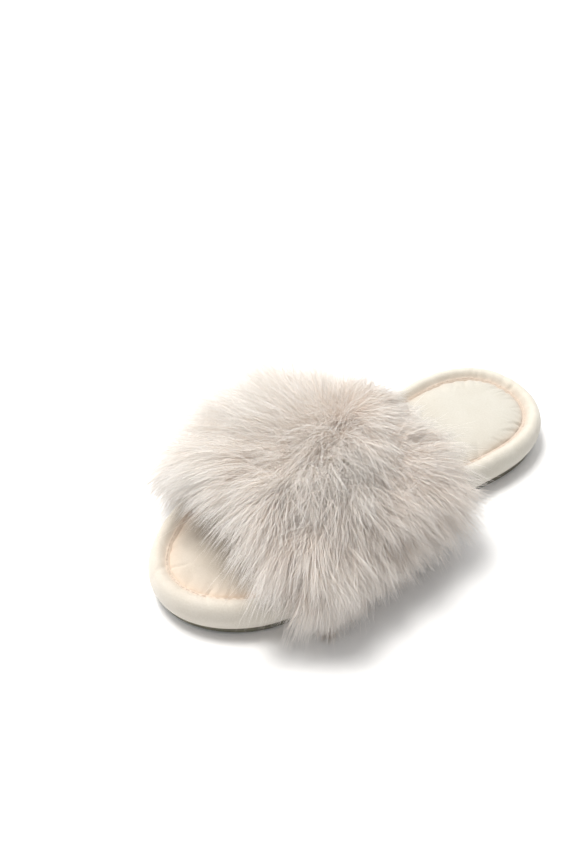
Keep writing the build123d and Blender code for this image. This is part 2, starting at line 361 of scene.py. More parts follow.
def inflate(o, pin, pressure=4.0, frames=20, cap=5.0, voxel=5.0):
    """Remeshes a closed pad evenly and blows it up as cloth, moving no point further than cap (mm)."""
    m = o.modifiers.new("remesh", "REMESH")
    m.mode = "VOXEL"
    m.voxel_size = voxel * MM
    apply_all(o)
    start = coords(o)
    group = o.vertex_groups.new(name="pin")
    for i, w in enumerate(pin(start)):
        if w > 0:
            group.add([i], float(w), "REPLACE")
    c = o.modifiers.new("cloth", "CLOTH")
    s = c.settings
    s.quality = 6
    s.mass = 0.2
    s.tension_stiffness = s.compression_stiffness = 12
    s.shear_stiffness = 4
    s.bending_stiffness = 0.3
    s.use_pressure = True
    s.uniform_pressure_force = pressure
    s.vertex_group_mass = "pin"
    s.effector_weights.gravity = 0
    c.point_cache.frame_start, c.point_cache.frame_end = 1, frames
    scene = bpy.context.scene
    for f in range(1, frames + 1):
        scene.frame_set(f)
    dg = bpy.context.evaluated_depsgraph_get()
    e = o.evaluated_get(dg)
    a = np.empty(len(e.data.vertices) * 3)
    e.data.vertices.foreach_get("co", a)
    end = a.reshape(-1, 3) / MM
    move = end - start
    far = np.linalg.norm(move, axis=1)
    move *= np.minimum(1.0, cap / np.maximum(far, 1e-6))[:, None]
    o.modifiers.clear()
    scene.frame_set(1)
    set_coords(o, start + move)


# distance inside the outline and place along it, for any plan point
tree = KDTree(len(FINE))
for i, p in enumerate(FINE):
    tree.insert((p[0], p[1], 0), i)
tree.balance()
FIN = inward(FINE)


def inset_and_run(xy):
    d, s = np.empty(len(xy)), np.empty(len(xy))
    for k, p in enumerate(xy):
        _, i, dist = tree.find((p[0], p[1], 0))
        side = (p[0] - FINE[i, 0]) * FIN[i, 0] + (p[1] - FINE[i, 1]) * FIN[i, 1]
        d[k] = dist if side >= 0 else -dist
        s[k] = i / len(FINE) * PERIMETER
    return d, s


# puckers gathered by the seam: place along it, width, depth, reach into the cloth, slant
PUCKERS = []
s_at = 0.0
while s_at < PERIMETER:
    PUCKERS.append((s_at, rng.uniform(1.2, 3.0), rng.uniform(0.25, 0.85) * rng.uniform(0.5, 1.4), rng.uniform(4, 11), rng.uniform(-0.7, 0.7)))
    s_at += rng.uniform(3.5, 8.5)
PUCKERS = np.array(PUCKERS)


def crease_z(y):
    """Height of the seam's bottom: the cloth is drawn in more at the heel."""
    return 19.75 - 0.95 * smooth(-40.0, 70.0, y)


def pucker(d, s, gain=1.0):
    """Depth of the gathers at inset distance d from the seam and run s."""
    total = np.zeros(len(d))
    for s0, w, a, reach, slant in PUCKERS:
        ds = (s - s0 - slant * d + PERIMETER / 2) % PERIMETER - PERIMETER / 2
        total -= a * np.exp(-((ds / w) ** 2)) * np.exp(-((d / reach) ** 2)) * (d >= 0)
    return total * gain


def waves(points, scale, seed):
    """Slow smooth noise from a few sines."""
    g = np.random.default_rng(seed)
    total = np.zeros(len(points))
    for _ in range(7):
        k = g.normal(size=3) * scale
        total += np.sin(points @ k + g.uniform(0, 6.28)) / 7
    return total


SEAM = 10.2
# creases in the footbed cloth: centre, direction in degrees, half length, half width, depth
WRINKLES = [
    (27.0, 98.0, 62, 6.5, 1.1, 0.55), (24.0, 103.0, 55, 5.0, 1.0, 0.45), (31.0, 89.0, 75, 6.0, 1.0, 0.45), (28.0, 84.0, 40, 4.5, 0.9, 0.3),
    (-22.0, 96.0, -55, 5.0, 1.0, 0.25), (-26.0, -104.0, 60, 8.0, 2.3, 0.35), (-12.0, -112.0, 20, 9.0, 2.4, 0.4), (4.0, -113.5, -8, 9.0, 2.3, 0.4),
    (18.0, -109.0, -32, 7.0, 2.0, 0.35), (-2.0, -101.0, 5, 12.0, 3.0, 0.35), (-20.0, -96.0, 38, 9.0, 2.8, 0.3), (14.0, -97.0, -15, 9.0, 2.6, 0.3),
]

# ------------------------------------------------------------------ footbed: a crowned pad of plush over foam
def footbed():
    rings = [(10.2, 11.6), (10.2, 18.6), (10.8, 19.9), (12.6, 20.9), (16.0, 21.4), (24.0, 21.5)]
    n = 160
    loop, _ = periodic([(v, 132.5 - u) for u, v in UV], n)
    inn = inward(loop)
    verts, faces = [], []
    for inset, z in rings:
        p = loop + inn * (inset + 0.2)
        verts += [(x, y, z) for x, y in p]
    for r in range(len(rings) - 1):
        for i in range(n):
            j = (i + 1) % n
            faces.append((r * n + i, r * n + j, (r + 1) * n + j, (r + 1) * n + i))
    top = list(range((len(rings) - 1) * n, len(rings) * n))
    faces.append(top)
    faces.append(list(range(n))[::-1])
    o = make("footbed_pad", verts, faces, mat_plush)
    inflate(o, lambda p: (p[:, 2] < 18.0) * 1.0, pressure=4.0, cap=5.0, voxel=5.0)
    subdivide(o, 2)
    p = coords(o)
    d, s = inset_and_run(p[:, :2])
    e = d - SEAM - 0.1
    # crown: the height over the seam, whatever the cloth did, settles between these
    up = p[:, 2] > 15.5
    floor_z = crease_z(p[:, 1])
    want = floor_z + (23.35 - floor_z) * (1 - np.exp(-np.maximum(e, 0) / 4.2))
    z = p[:, 2].copy()
    top_z = np.percentile(z[up], 90) if up.any() else 22
    z_sim = z - top_z + 22.9
    z[up] = 0.35 * np.minimum(z_sim[up], 24.0) + 0.65 * want[up]
    # a faint bed for the heel, and slow unevenness
    y, x = p[:, 1], p[:, 0]
    z[up] -= 0.7 * np.exp(-(((y[up] - 88) / 30) ** 2 + (x[up] / 22) ** 2))
    z[up] += 0.35 * waves(p[up], 0.09, 3) + 0.10 * waves(p[up], 0.35, 4)
    z[up] += pucker(np.maximum(e[up], 0), s[up], 1.0)
    for cx, cy, ang, long, wide, deep in WRINKLES:
        ax, ay = math.cos(math.radians(ang)), math.sin(math.radians(ang))
        a1 = (x[up] - cx) * ax + (y[up] - cy) * ay
        b1 = -(x[up] - cx) * ay + (y[up] - cy) * ax + 0.02 * a1**2
        z[up] -= deep * np.exp(-((a1 / long) ** 2)) * (np.exp(-((b1 / wide) ** 2)) - 0.45 * np.exp(-(((b1 - 1.7 * wide) / wide) ** 2)))
    p[:, 2] = z
    set_coords(o, p)
    # seam colour share by the crease, broader towards the toe; the colour it mixes in carries painted shade at the
    # heel and painted highlight at the toe
    wide = 1.4 + 2.2 * smooth(-20, -90, coords(o)[:, 1])
    attribute(o, "seam", np.clip(0.7 * np.exp(-np.maximum(e, 0) / wide) + 0.25 * np.exp(-np.maximum(e, 0) / 4.5), 0, 1) * up)
    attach(o, "root")
    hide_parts("footbed_cover", "footbed_foam")
    return o


# ------------------------------------------------------------------ rim: a stuffed roll of plush round the sole
def rim():
    # closed section: (inset, z)
    sec = np.array([
        (12.6, 17.4), (11.7, 19.0), (10.7, 19.75), (9.8, 20.25), (9.0, 21.1), (7.7, 22.15), (6.1, 22.8), (4.5, 22.7), (3.0, 21.95),
        (1.7, 20.5), (0.75, 18.4), (0.2, 16.0), (0.0, 13.6), (0.3, 11.1), (1.0, 8.6), (1.85, 6.4), (2.85, 4.5), (4.6, 5.0),
        (7.2, 5.1), (10.2, 5.1), (12.2, 5.3), (12.8, 6.6), (12.8, 9.0), (12.8, 13.0),
    ])
    n, k = N_RING, len(sec)
    verts = np.empty((n, k, 3))
    run = np.arange(n) / n * PERIMETER
    for j, (inset, z) in enumerate(sec):
        pos = RING + RIN * inset
        sunk = (crease_z(pos[:, 1]) - 19.75) * float(smooth(7.5, 9.8, inset)) * float(z > 16)
        verts[:, j, 0], verts[:, j, 1], verts[:, j, 2] = pos[:, 0], pos[:, 1], z + sunk
    seam_d = np.maximum(0, SEAM - 0.3 - sec[:, 0])
    show = (sec[:, 1] > 12) & (sec[:, 0] < 10.3)
    flat = verts.reshape(-1, 3)
    lump = (0.30 * waves(flat, 0.10, 11) + 0.14 * waves(flat, 0.33, 12)).reshape(n, k)
    for j in range(k):
        inset, z = sec[j]
        out = np.array([-(5.2 - inset), 0, z - 14.0])
        w = 1.0 if z > 9 and inset < 10 else 0.25
        r = out / max(np.linalg.norm(out), 1e-6)
        # r[0] < 0 means outwards
        push = lump[:, j] * w
        if show[j] and z > 17:
            push = push + pucker(np.full(n, seam_d[j]), run, 0.85)
        verts[:, j, :2] += RIN * (r[0] * push)[:, None]
        verts[:, j, 2] += r[2] * push
    faces = []
    for i in range(n):
        a = (i + 1) % n
        for j in range(k):
            b = (j + 1) % k
            faces.append((i * k + j, i * k + b, a * k + b, a * k + j))
    o = make("rim_roll", verts.reshape(-1, 3), faces, mat_rim)
    subdivide(o, 1)
    p = coords(o)
    d, s = inset_and_run(p[:, :2])
    # seam colour share by the seam on the rim's inner edge, carrying painted shade at the heel and painted highlight
    # at the toe
    near = np.exp(-np.maximum(SEAM - 0.2 - d, 0) / 1.6) * smooth(15, 18, p[:, 2])
    # and 35% of it over the rim's lower curl, where it meets the sole; at the heel end this is the dark painted crease
    # shade
    low = smooth(8.5, 5.5, p[:, 2]) * 0.35
    attribute(o, "seam", np.clip(near * 0.6 + low, 0, 1))
    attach(o, "root")
    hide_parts("rim_cover", "rim_foam_roll")
    return o


def stitches(name, centres, directions, length, radius, mat, node_name):
    """Short bowed stitches, one closed spindle each."""
    verts, faces = [], []
    prof = [(-0.5, 0.35), (-0.3, 0.9), (0.0, 1.0), (0.3, 0.9), (0.5, 0.35)]
    for c, t, up in zip(centres, directions[0], directions[1]):
        t = t / np.linalg.norm(t)
        side = np.cross(up, t)
        side /= np.linalg.norm(side)
        up2 = np.cross(t, side)
        base = len(verts)
        for f, r in prof:
            bow = 0.25 * (1 - (2 * f) ** 2)
            for a in range(6):
                w = a / 6 * 2 * math.pi
                verts.append(c + t * f * length + up2 * (bow + radius * r * math.sin(w)) + side * radius * r * math.cos(w))
        for q in range(len(prof) - 1):
            for a in range(6):
                b = (a + 1) % 6
                faces.append((base + q * 6 + a, base + q * 6 + b, base + (q + 1) * 6 + b, base + (q + 1) * 6 + a))
        faces.append([base + a for a in range(6)][::-1])
        faces.append([base + (len(prof) - 1) * 6 + a for a in range(6)])
    o = make(name, verts, faces, mat)
    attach(o, "root")
    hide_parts(node_name)
    return o


# ------------------------------------------------------------------ the band over the foot
U0, U1 = 118.0, 203.0
GAP = 0.4
TURN = 20.0


def crest(u):
    return 57.5 + (51.5 - 57.5) * (np.clip(u, U0, U1) - U0) / (U1 - U0)


def arch(u, k, foot=5.5, n=61):
    """Points and outward normals of the band's section grown by k, from the outer foot over to the inner foot."""
    o, i = halves(u)
    o, i, top = float(o) + GAP + k, float(i) + GAP + k, float(crest(u)) + k
    xc, w, h = (o - i) / 2, (o + i) / 2, top - TURN
    r1 = 0.60 * (h - k) + k
    kk = ((w - r1) ** 2 - (h - r1) ** 2) / (2 * (h - r1))
    r2 = h + kk
    t = math.atan2(kk, w - r1)
    P = []
    for z in np.linspace(foot, TURN, 9, endpoint=False):
        P.append((xc + w, z))
    for a in np.linspace(0, t, 14, endpoint=False):
        P.append((xc + w - r1 + r1 * math.cos(a), TURN + r1 * math.sin(a)))
    for a in np.linspace(t, math.pi - t, 40, endpoint=False):
        P.append((xc + r2 * math.cos(a), TURN - kk + r2 * math.sin(a)))
    for a in np.linspace(math.pi - t, math.pi, 14, endpoint=False):
        P.append((xc - w + r1 + r1 * math.cos(a), TURN + r1 * math.sin(a)))
    for z in np.linspace(TURN, foot, 10):
        P.append((xc - w, z))
    P = np.array(P)
    seg = np.linalg.norm(np.diff(P, axis=0), axis=1)
    run = np.concatenate([[0], np.cumsum(seg)])
    want = np.linspace(0, run[-1], n)
    Q = np.column_stack([np.interp(want, run, P[:, c]) for c in (0, 1)])
    d = np.gradient(Q, axis=0)
    nrm = np.column_stack([d[:, 1], -d[:, 0]])
    nrm /= np.linalg.norm(nrm, axis=1)[:, None]
    return Q, nrm, run[-1]


def band_shell(name, k_in, k_out, mat, foot, u_pad, seed, wob=0.35, nu=24, na=61):
    """Closed shell between two grown arches, with rounded edges at both mouths."""
    verts, loops = [], []
    us = np.linspace(U0 + u_pad, U1 - u_pad, nu)
    mid = (k_in + k_out) / 2
    half = (k_out - k_in) / 2
    ring_spec = []
    # walk round the closed section of the shell in (u, k): outer face, front edge, inner face, rear edge
    for u in us:
        ring_spec.append((u, k_out))
    for a in (-0.6, -0.2, 0.2, 0.6):
        ring_spec.append((us[-1] + 0.9 * half * math.cos(a * 1.5), mid - half * math.sin(a * 1.5)))
    for u in us[::-1]:
        ring_spec.append((u, k_in))
    for a in (-0.6, -0.2, 0.2, 0.6):
        ring_spec.append((us[0] - 0.9 * half * math.cos(a * 1.5), mid + half * math.sin(a * 1.5)))
    for u, k in ring_spec:
        Q, nrm, _ = arch(u, k, foot, na)
        p = np.column_stack([Q[:, 0], np.full(na, 132.5 - u), Q[:, 1]])
        w3 = waves(np.column_stack([p[:, 0], p[:, 1], p[:, 2]]), 0.11, seed) * wob * smooth(foot, 24, p[:, 2])
        p[:, 0] += nrm[:, 0] * w3
        p[:, 2] += nrm[:, 1] * w3
        verts.append(p)
    m = len(ring_spec)
    V = np.vstack(verts)
    faces = []
    for r in range(m):
        q = (r + 1) % m
        for a in range(na - 1):
            faces.append((r * na + a, r * na + a + 1, q * na + a + 1, q * na + a))
    # the feet
    faces.append([r * na for r in range(m)])
    faces.append([r * na + na - 1 for r in range(m)][::-1])
    o = make(name, V, faces, mat)
    return o


def band():
    lining = band_shell("band_lining", 0.15, 1.75, mat_lining, 7.6, 1.0, 21)
    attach(lining, "root")
    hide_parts("upper_lining")
    attribute(lining, "seam", np.zeros(len(coords(lining))))
    pad = band_shell("band_pad", 1.9, 6.0, mat_knit(), 6.4, 1.6, 22)
    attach(pad, "root")
    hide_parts("fur_backing", "upper_foam")
    return lining, pad


# ------------------------------------------------------------------ fur
K3 = 6.4                   # skin that the hair grows from
TH = np.linspace(0, math.pi, 121)
US = np.linspace(U0 - 3, U1 + 3, 30)
Z0 = 12.0


def polar_table():
    tab = np.empty((len(US), len(TH)))
    xcs, ws = [], []
    for a, u in enumerate(US):
        Q, _, _ = arch(u, K3, 5.5, 161)
        o, i = halves(u)
        xc = (float(o) - float(i)) / 2
        ang = np.arctan2(np.maximum(Q[:, 1] - Z0, 0), Q[:, 0] - xc)
        r = np.hypot(Q[:, 0] - xc, np.maximum(Q[:, 1] - Z0, 0))
        order = np.argsort(ang)
        tab[a] = np.interp(TH, ang[order], r[order])
        xcs.append(xc)
        ws.append((float(o) + float(i)) / 2 + GAP + K3)
    return tab, np.array(xcs), np.array(ws)


TAB, XCS, WS = polar_table()


def clear_band(P, gap):
    u = 132.5 - P[:, 1]
    near = (u > U0 - 2.0) & (u < U1 + 2.0)
    if not near.any():
        return P
    q = P[near]
    g = gap[near]
    uu = u[near]
    f = (uu - US[0]) / (US[1] - US[0])
    i = np.clip(f.astype(int), 0, len(US) - 2)
    f = np.clip(f - i, 0, 1)
    xc = XCS[i] * (1 - f) + XCS[i + 1] * f
    dx, dz = q[:, 0] - xc, np.maximum(q[:, 2] - Z0, 0)
    th = np.arctan2(dz, dx)
    t = th / math.pi * (len(TH) - 1)
    j = np.clip(t.astype(int), 0, len(TH) - 2)
    t = np.clip(t - j, 0, 1)
    r = (TAB[i, j] * (1 - f) * (1 - t) + TAB[i + 1, j] * f * (1 - t) + TAB[i, j + 1] * (1 - f) * t + TAB[i + 1, j + 1] * f * t) + g
    rho = np.maximum(np.hypot(dx, dz), 1e-6)
    s = np.maximum(1.0, r / rho)
    q[:, 0] = xc + dx * s
    q[:, 2] = np.where(q[:, 2] > Z0, Z0 + dz * s, q[:, 2])
    P[near] = q
    return P


def clear_sole(P, gap):
    y = P[:, 1]
    inside_y = np.abs(y) < 132
    wo, wi = np.interp(y, Y_TAB, W_OUT), np.interp(y, Y_TAB, W_IN)
    i = np.minimum(wo - P[:, 0], P[:, 0] + wi)
    inside = inside_y & (i > -0.5)
    top = 15.0 + 8.3 * np.sqrt(np.clip(1 - ((7.0 - np.clip(i, 0, 7)) / 7.0) ** 2, 0, 1)) + gap
    low = inside & (P[:, 2] < top)
    side = low & (i < 5) & (P[:, 2] < top - 5)
    lift = low & ~side
    P[lift, 2] = top[lift]
    right = side & (wo - P[:, 0] < P[:, 0] + wi)
    left = side & ~right
    P[right, 0] = wo[right] + gap[right] + 0.3
    P[left, 0] = -wi[left] - gap[left] - 0.3
    P[:, 2] = np.maximum(P[:, 2], 0.5 + 0.2 * gap)
    return P


# the parting that the hair falls away from: run from the crest by distance from the heel, mm
PART_U = np.array([118, 131, 140, 150, 165, 180, 203], float)
PART_S = np.array([-8, -8, -8, -6, 1, 7, 13], float)

# how the hair is laid, read along the band: (u, s, share towards the toe, share towards the outer foot)
LAID_OUTER = np.array([
    (200, 20, 1.35, 1), (200, 50, 0.95, 1), (200, 80, 0.65, 1), (184, 22, 0.92, 1), (182, 50, 0.42, 1), (182, 80, 0.20, 1),
    (165, 20, 0.72, 1), (165, 50, 0.18, 1), (165, 80, 0.05, 1), (149, 18, 0.42, 1), (149, 50, -0.10, 1), (149, 80, -0.15, 1),
    (134, 16, -0.15, 1), (134, 45, -0.50, 1), (134, 80, -0.42, 1), (120, 12, -1.0, 0.6), (120, 32, -1.0, 0.9),
    (120, 58, -0.85, 1), (120, 84, -0.65, 1),
])
LAID_INNER = np.array([
    (201, -6, 1.5, -0.1), (201, -32, 1.5, -0.35), (199, -58, 1.45, -0.55), (199, -82, 1.2, -0.8), (184, -8, 1.0, -0.6),
    (182, -34, 0.85, -0.9), (182, -60, 0.75, -1), (182, -82, 0.5, -1), (164, -14, 0.5, -1), (164, -40, 0.35, -1), (164, -75, 0.25, -1),
    (147, -16, 0.0, -1), (147, -42, -0.1, -1), (147, -75, -0.1, -1), (132, -12, -0.6, -0.8), (132, -40, -0.45, -1),
    (132, -75, -0.35, -1), (120, -6, -1.1, -0.3), (120, -35, -1.0, -0.7), (120, -62, -0.8, -1), (120, -84, -0.5, -1),
])


def laid(table, u, s):
    w = np.exp(-(((u[:, None] - table[:, 0]) / 11.0) ** 2) - (((s[:, None] - table[:, 1]) / 17.0) ** 2)) + 1e-9
    return (w[:, :, None] * table[:, 2:][None]).sum(1) / w.sum(1)[:, None]


SKIN_U = np.linspace(U0 - 0.6, U1 + 0.6, 40)
SKIN = [arch(u, K3 - 0.3, 6.5, 121) for u in SKIN_U]
SKIN_P = np.array([s[0] for s in SKIN])
SKIN_N = np.array([s[1] for s in SKIN])
SKIN_L = np.array([s[2] for s in SKIN])


def on_skin(u, a):
    """Position, normal and tangents at heel distance u and share a (0 outer foot .. 1 inner foot) of the arch."""
    f = (u - SKIN_U[0]) / (SKIN_U[1] - SKIN_U[0])
    i = np.clip(f.astype(int), 0, len(SKIN_U) - 2)
    f = np.clip(f - i, 0, 1)[:, None]
    t = a * 120
    j = np.clip(t.astype(int), 0, 119)
    t = np.clip(t - j, 0, 1)[:, None]

    def pick(T):
        return (T[i, j] * (1 - f) + T[i + 1, j] * f) * (1 - t) + (T[i, j + 1] * (1 - f) + T[i + 1, j + 1] * f) * t

    q, n = pick(SKIN_P), pick(SKIN_N)
    n /= np.linalg.norm(n, axis=1)[:, None]
    P = np.column_stack([q[:, 0], 132.5 - u, q[:, 1]])
    N = np.column_stack([n[:, 0], np.zeros(len(u)), n[:, 1]])
    # tangent towards the outer foot
    T = np.column_stack([n[:, 1], np.zeros(len(u)), -n[:, 0]])
    L = SKIN_L[i] * (1 - f[:, 0]) + SKIN_L[i + 1] * f[:, 0]
    return P, N, T, (0.5 - a) * L


def unit(v):
    return v / np.maximum(np.linalg.norm(v, axis=1), 1e-9)[:, None]


def comb(u, s, N, T):
    """Direction that the hair is laid in at a root, how far it stands off the skin, how much it droops, and how messy it is."""
    off = s - np.interp(u, PART_U, PART_S)
    over = smooth(-13.0, 13.0, off)[:, None]
    lie = laid(LAID_OUTER, u, s) * over + laid(LAID_INNER, u, s) * (1 - over)
    spot = np.column_stack([u, s, np.zeros(len(u))])
    lie[:, 0] += 0.55 * waves(spot, 0.085, 61) + 0.75 * waves(spot, 0.19, 63)
    lie[:, 1] += 0.40 * waves(spot, 0.085, 62) + 0.60 * waves(spot, 0.19, 64)
    b = (u - U0) / (U1 - U0)
    flow = np.array([0, -1.0, 0]) * lie[:, 0][:, None] + T * lie[:, 1][:, None]
    size = np.linalg.norm(flow, axis=1)
    flow = flow / np.maximum(size, 1.0)[:, None]
    edge_f, edge_r = smooth(0.80, 1.0, b), smooth(0.20, 0.0, b)
    side = smooth(38, 80, np.abs(s))
    inner, outer = smooth(0, -35, s), smooth(15, 40, s)
    rear, front = smooth(0.36, 0.0, b), smooth(0.45, 1.0, b)
    bulge = np.exp(-(((u - 163) / 26) ** 2) - (((s + 33) / 22) ** 2))
    back_low = rear * np.exp(-(((s + 18) / 30) ** 2))
    back_mid = rear * np.exp(-(((s - 8) / 34) ** 2))
    messy = np.exp(-((off / 12.0) ** 2)) * (1 - 0.7 * edge_f) * (1 - 0.7 * edge_r)
    lift = 0.58 + 0.22 * messy - 0.22 * edge_f - 0.20 * edge_r * (1 - 0.6 * side) + 0.40 * bulge + 0.10 * outer * rear - 0.14 * back_low - 0.22 * back_mid - 0.10 * outer * side
    droop = (0.075 + 0.135 * edge_f * (1 - 0.6 * side) + 0.065 * front + 0.04 * inner * front + 0.04 * edge_r * (1 - outer) + 0.03 * side
             - 0.065 * bulge + 0.04 * back_low + 0.08 * back_mid + 0.05 * outer * side)
    return flow, lift, droop, messy


def hair_length(u, s):
    b = (u - U0) / (U1 - U0)
    bulge = np.exp(-(((u - 163) / 26) ** 2) - (((s + 33) / 22) ** 2))
    inner, outer = smooth(0, -35, s), smooth(12, 38, s)
    rear, front = smooth(0.40, 0.0, b), smooth(0.6, 1.0, b)
    messy = np.exp(-(((s - np.interp(u, PART_U, PART_S)) / 14.0) ** 2))
    top = 39.0 - 3.5 * rear * np.exp(-(((s - 8) / 34) ** 2)) - 14.0 * rear * (1 - outer) + 13.0 * bulge + 4.5 * front - 2.0 * messy * (1 - front)
    low = smooth(40, 80, np.abs(s))
    belly = np.exp(-(((u - 160) / 24) ** 2))
    return top * (1 - low) + (15.0 + 6.0 * inner + 7.0 * belly * outer) * low + outer * rear * 7.0 + front * low * (3.0 + 6.0 * inner) + inner * front * 1.0


STEPS = 7


def grow(u, a, length, jitter, g, sag=1.0, seed_dir=None):
    """Curves of hair from their roots: (strands, STEPS, 3)."""
    P, N, T, s = on_skin(u, a)
    flow, lift, droop, messy = comb(u, s, N, T)
    jit = g.normal(size=P.shape) * (jitter * (1 + 1.2 * messy))[:, None]
    if seed_dir is not None:
        jit = jit + seed_dir
    d = unit(N * lift[:, None] + flow * (1 - lift)[:, None] * 1.25 + jit)
    aim = unit(flow + 0.20 * N + jit * 1.1)
    pts = np.empty((len(u), STEPS, 3))
    pts[:, 0] = P
    step = length / (STEPS - 1)
    pos = P.copy()
    gap = np.full(len(u), 0.6)
    scale = 7.0 / (STEPS - 1)
    for k in range(1, STEPS):
        f = k / (STEPS - 1)
        turn = (0.15 + 0.18 * f) * scale
        d = unit(d + (aim - d) * turn + np.array([0, 0, -1.0]) * (sag * droop * scale * (0.25 + 0.9 * f))[:, None])
        pos = pos + d * step[:, None]
        pos = clear_band(pos, gap + 2.0 * f)
        pos = clear_sole(pos, gap)
        pts[:, k] = pos
    return pts, N


def nearest(roots, centres):
    t = KDTree(len(centres))
    for i, p in enumerate(centres):
        t.insert(p, i)
    t.balance()
    return np.array([t.find(p)[1] for p in roots])


def build_fur(total, seed):
    g = np.random.default_rng(seed)
    n_tuft, n_lock = 700, 10500
    u = g.uniform(U0 - 0.5, U1 + 0.5, total)
    a = g.uniform(0.0, 1.0, total)
    # a fuller fringe at both mouths
    k = int(total * 0.10)
    u[:k] = np.where(g.random(k) < 0.5, U0 - 0.5 + np.abs(g.normal(size=k)) * 2.0, U1 + 0.5 - np.abs(g.normal(size=k)) * 2.0)
    P0, N0, T0, s0 = on_skin(u, a)

    # tufts
    tu, ta = g.uniform(U0, U1, n_tuft), g.uniform(0.02, 0.98, n_tuft)
    tP, _, _, _ = on_skin(tu, ta)
    # bunches of tufts lean together
    n_bunch = 110
    bP, _, _, _ = on_skin(g.uniform(U0, U1, n_bunch), g.uniform(0.02, 0.98, n_bunch))
    t_b = nearest(tP, bP)
    t_dir = g.normal(size=(n_tuft, 3)) * 0.22 + (g.normal(size=(n_bunch, 3)) * 0.20)[t_b]
    t_dir[:, 2] *= 0.6
    t_len = g.uniform(0.82, 1.14, n_tuft) * g.uniform(0.93, 1.07, n_bunch)[t_b]
    # locks
    lu, la = g.uniform(U0 - 0.5, U1 + 0.5, n_lock), g.uniform(0.0, 1.0, n_lock)
    lP, _, _, ls = on_skin(lu, la)
    l_t = nearest(lP, tP)
    l_dir = t_dir[l_t] + g.normal(size=(n_lock, 3)) * 0.18
    l_len = t_len[l_t] * g.uniform(0.74, 1.12, n_lock)
    guide, _ = grow(lu, la, hair_length(lu, ls) * l_len, np.zeros(n_lock), g, seed_dir=l_dir)
    owner = nearest(P0, lP)
    kind = g.random(total)
    stray = kind > 0.94
    under = kind < 0.16
    length = hair_length(u, s0) * l_len[owner] * (1.06 - 0.40 * g.random(total) ** 1.6)
    length = np.where(stray, length * g.uniform(1.0, 1.25, total), length)
    length = np.where(under, length * g.uniform(0.35, 0.6, total), length)
    jitter = np.where(stray, 0.26, np.where(under, 0.20, 0.11))
    pts, N = grow(u, a, length, jitter, g, sag=np.where(stray, 0.6, 1.0), seed_dir=l_dir[owner])
    f = np.linspace(0, 1, STEPS)[None, :, None]
    hold = g.uniform(0.12, 0.62, n_lock)[owner]
    hold = np.where(stray, 0.08, np.where(under, 0.35, hold))
    root_off = (P0 - lP[owner])[:, None, :]
    ratio = length / (hair_length(lu, ls) * l_len)[owner]
    # point of the lock's guide at the same share of the way along this strand
    fi = np.clip(np.linspace(0, 1, STEPS)[None, :] * np.minimum(ratio, 1.0)[:, None], 0, 1) * (STEPS - 1)
    i0 = np.clip(fi.astype(int), 0, STEPS - 2)
    w = (fi - i0)[..., None]
    G = guide[owner]
    take = np.take_along_axis(G, i0[..., None].repeat(3, 2), 1) * (1 - w) + np.take_along_axis(G, (i0 + 1)[..., None].repeat(3, 2), 1) * w
    target = take + root_off * (1 - f) ** 1.3
    c = hold[:, None, None] * f**1.15
    pts = pts * (1 - c) + target * c
    # gentle crimp, alike within a lock
    ph, am = g.uniform(0, 6.28, n_lock)[owner] + g.normal(size=total) * 0.5, g.uniform(0.25, 1.35, n_lock)[owner]
    side = unit(np.cross(N, pts[:, -1] - pts[:, 0]))
    wave = np.sin(ph[:, None] + np.linspace(0, 1, STEPS)[None, :] * g.uniform(4, 9, n_lock)[owner][:, None])
    pts += side[:, None, :] * (wave * am[:, None] * np.linspace(0, 1, STEPS)[None, :])[..., None]
    pts += g.normal(size=(total, 1, 3)) * 0.45 * f
    pts[:, :, 2] -= np.maximum(pts[:, :, 2] - 94.0, 0) * 0.6
    pts[:, :, 0] -= np.sign(pts[:, :, 0]) * np.maximum(np.abs(pts[:, :, 0]) - 86.0, 0) * 0.5
    gap = np.full(total, 0.5) + 0.9 * g.random(total)
    for k in range(1, STEPS):
        q = clear_sole(clear_band(pts[:, k].copy(), gap + 0.2), gap * 0.8)
        pts[:, k] = q
    tone_and_painted_light = np.clip(0.66 + 0.14 * g.normal(size=n_tuft)[l_t][owner] + 0.10 * g.normal(size=n_lock)[owner] + 0.08 * g.normal(size=total), 0.02, 0.98)
    tone_and_painted_light = np.where(under, tone_and_painted_light * 0.6, tone_and_painted_light)
    # the crest is painted paler, as painted light, and the outer side is painted darker, as painted shade on the side
    # turned away from the lamps
    tone_and_painted_light = np.clip(tone_and_painted_light + 0.10 * np.exp(-((s0 / 26) ** 2)) - 0.32 * smooth(14, 50, s0), 0.02, 0.98)
    radius = np.where(under, 0.12, 0.10) * g.uniform(0.75, 1.2, total)
    radius = np.where(stray, 0.085, radius)
    return pts, tone_and_painted_light, radius, under


